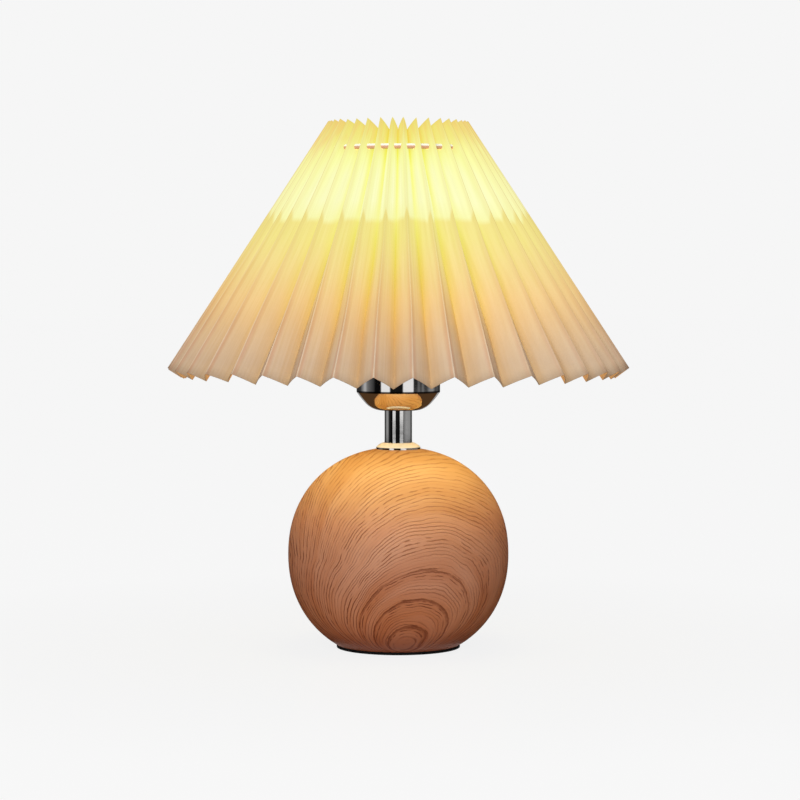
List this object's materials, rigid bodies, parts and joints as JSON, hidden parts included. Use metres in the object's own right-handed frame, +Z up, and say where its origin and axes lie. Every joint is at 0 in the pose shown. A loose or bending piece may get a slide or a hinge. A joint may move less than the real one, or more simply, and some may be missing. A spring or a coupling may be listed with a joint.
{
  "type": "pleated table lamp",
  "caption": "Table lamp with a turned wooden ball base, a bright metal stem and cup, and a conical pleated shade threaded on a wire ring over a screw-in bulb.",
  "frame": {"origin": "centre of the foot pad's underside, where the lamp stands", "axes": "+Z up the stem, the front faces -Y, +X to the right seen from the front"},
  "size_m": [0.2994, 0.2994, 0.3426],
  "materials": {
    "wood": "satin wood-grain finish",
    "foot_rubber": "matte black foam rubber",
    "ballast_iron": "as cast, painted dark",
    "plated_steel": "zinc plated",
    "bright_chrome": "polished",
    "bush_rubber": "black, smooth",
    "holder_plastic": "black moulded",
    "core_ceramic": "pale moulded insulator",
    "contact_brass": "plain",
    "nut_plastic": "black moulded",
    "carrier_white": "white powder coat",
    "shade_cloth": "pleated translucent cloth on film",
    "cap_nickel": "drawn, threaded",
    "insulator_black": "black",
    "housing_white": "white",
    "board_metal": "white solder mask",
    "dome_frosted": "frosted, lit from inside"
  },
  "bodies": {
    "base": {"ball_base": "wood", "foot_pad": "foot_rubber", "ballast_disc": "ballast_iron", "cord_inlet_bush": "bush_rubber", "threaded_rod": "plated_steel", "clamp_washer": "plated_steel", "spring_washer": "plated_steel", "clamp_nut": "plated_steel", "tooth_washer": "plated_steel", "cup_nut": "plated_steel", "stem_collar": "bright_chrome", "stem_tube": "bright_chrome", "holder_cup": "bright_chrome", "holder_base": "holder_plastic", "holder_core": "core_ceramic", "terminal_screws": "contact_brass", "screw_shell": "contact_brass", "holder_skirt": "holder_plastic"},
    "contact": {"centre_contact": "contact_brass"},
    "ring_nut": {"shade_ring_nut": "nut_plastic"},
    "bulb": {"bulb_tip": "contact_brass", "bulb_insulator": "insulator_black", "bulb_cap": "cap_nickel", "bulb_housing": "housing_white", "led_board": "board_metal", "bulb_dome": "dome_frosted"},
    "shade": {"fitter_ring": "carrier_white", "gather_ring": "carrier_white", "shade_pleats": "shade_cloth", "carrier_arm_1": "carrier_white", "carrier_arm_2": "carrier_white", "carrier_arm_3": "carrier_white", "carrier_arm_4": "carrier_white"}
  },
  "joints": [
    {"name": "shade_turn", "type": "hinge", "parent": "base", "child": "shade", "pos_m": [0, 0, 0.203], "axis": [0, 0, 1], "continuous": true},
    {"name": "ring_nut_unscrew", "type": "slide", "parent": "base", "child": "ring_nut", "axis": [0, 0, 1], "range_m": [0, 0.0155]},
    {"name": "bulb_unscrew", "type": "slide", "parent": "base", "child": "bulb", "axis": [0, 0, 1], "range_m": [0, 0.027]},
    {"name": "contact_press", "type": "slide", "parent": "base", "child": "contact", "axis": [0, 0, 1], "range_m": [-0.001, 0], "stiffness_N_per_m": 600}
  ]
}
